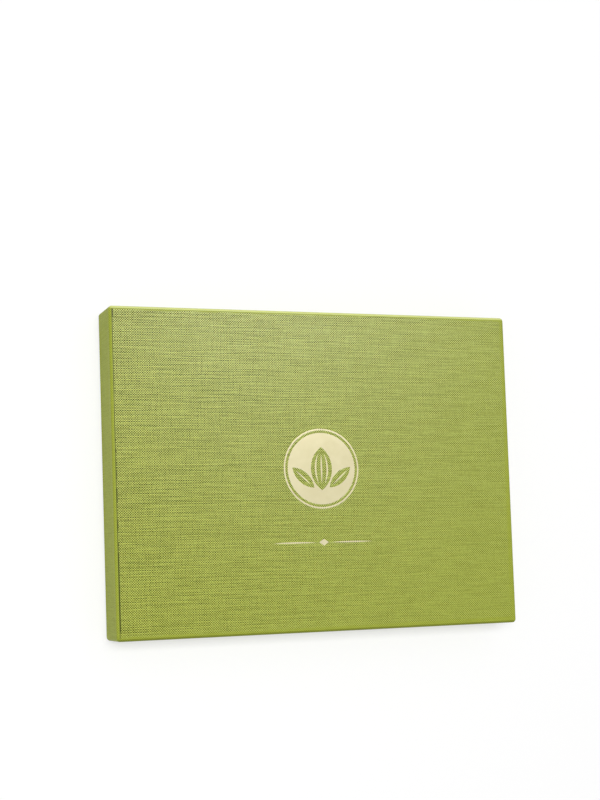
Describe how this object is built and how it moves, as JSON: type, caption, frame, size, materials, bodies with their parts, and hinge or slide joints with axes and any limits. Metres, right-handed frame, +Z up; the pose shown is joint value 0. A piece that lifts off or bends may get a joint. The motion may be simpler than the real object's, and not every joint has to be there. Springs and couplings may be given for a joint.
{
  "type": "chocolate box",
  "caption": "Flat rigid gift box with a full-depth lift-off lid in linen-embossed paper, holding pralines between card dividers under a soft pad.",
  "frame": {"origin": "on the table, under the middle of the box's underside", "axes": "+X along the long side, +Y along the short side, up the face as it is read, +Z up through the lid"},
  "size_m": [0.265, 0.2, 0.0285],
  "materials": {
    "linen_paper": "satin",
    "greyboard": "matte",
    "gummed_tape": "matte",
    "lining_paper": "matte",
    "bottom_paper": "satin",
    "gold_foil": "satin",
    "divider_card": "matte",
    "pad_paper": "matte",
    "dark_chocolate": "satin",
    "milk_chocolate": "satin",
    "white_chocolate": "satin",
    "gianduja": "satin",
    "cocoa_dust": "matte"
  },
  "bodies": {
    "base": {"base_board": "greyboard", "base_corner_stays": "gummed_tape", "base_wrap": "linen_paper", "base_lining": "lining_paper", "base_bottom_paper": "bottom_paper", "dome_praline_1": "dark_chocolate", "dome_praline_2": "dark_chocolate", "dome_praline_3": "dark_chocolate", "dome_praline_4": "dark_chocolate", "dome_praline_5": "dark_chocolate", "layered_block_1": "gianduja", "layered_block_2": "gianduja", "layered_block_3": "gianduja", "layered_block_4": "gianduja", "layered_block_5": "gianduja", "truffle_1": "cocoa_dust", "truffle_2": "cocoa_dust", "truffle_3": "cocoa_dust", "truffle_4": "cocoa_dust", "truffle_5": "cocoa_dust", "gianduja_ingot_1": "gianduja", "gianduja_ingot_2": "gianduja", "gianduja_ingot_3": "gianduja", "gianduja_ingot_4": "gianduja", "gianduja_ingot_5": "gianduja", "hazelnut_cup_1": "milk_chocolate", "hazelnut_cup_2": "milk_chocolate", "hazelnut_cup_3": "milk_chocolate", "hazelnut_cup_4": "milk_chocolate", "hazelnut_cup_5": "milk_chocolate", "oval_praline_1": "white_chocolate", "oval_praline_2": "white_chocolate", "oval_praline_3": "white_chocolate", "oval_praline_4": "white_chocolate", "oval_praline_5": "white_chocolate", "pyramid_praline_1": "dark_chocolate", "pyramid_praline_2": "dark_chocolate", "pyramid_praline_3": "dark_chocolate", "pyramid_praline_4": "dark_chocolate", "pyramid_praline_5": "dark_chocolate"},
    "dividers": {"long_divider_1": "divider_card", "long_divider_2": "divider_card", "long_divider_3": "divider_card", "long_divider_4": "divider_card", "cross_divider_1": "divider_card", "cross_divider_2": "divider_card", "cross_divider_3": "divider_card", "cross_divider_4": "divider_card", "cross_divider_5": "divider_card", "cross_divider_6": "divider_card"},
    "pad": {"cushion_pad": "pad_paper"},
    "lid": {"lid_board": "greyboard", "lid_corner_stays": "gummed_tape", "lid_wrap": "linen_paper", "lid_lining": "lining_paper", "foil_emblem": "gold_foil", "foil_rule": "gold_foil"}
  },
  "joints": [
    {"name": "divider_lift", "type": "slide", "parent": "base", "child": "dividers", "axis": [0, 0, 1], "range_m": [0, 0.035]},
    {"name": "pad_lift", "type": "slide", "parent": "dividers", "child": "pad", "axis": [0, 0, 1], "range_m": [0, 0.045]},
    {"name": "lid_lift", "type": "slide", "parent": "pad", "child": "lid", "axis": [0, 0, 1], "range_m": [0, 0.07]}
  ]
}
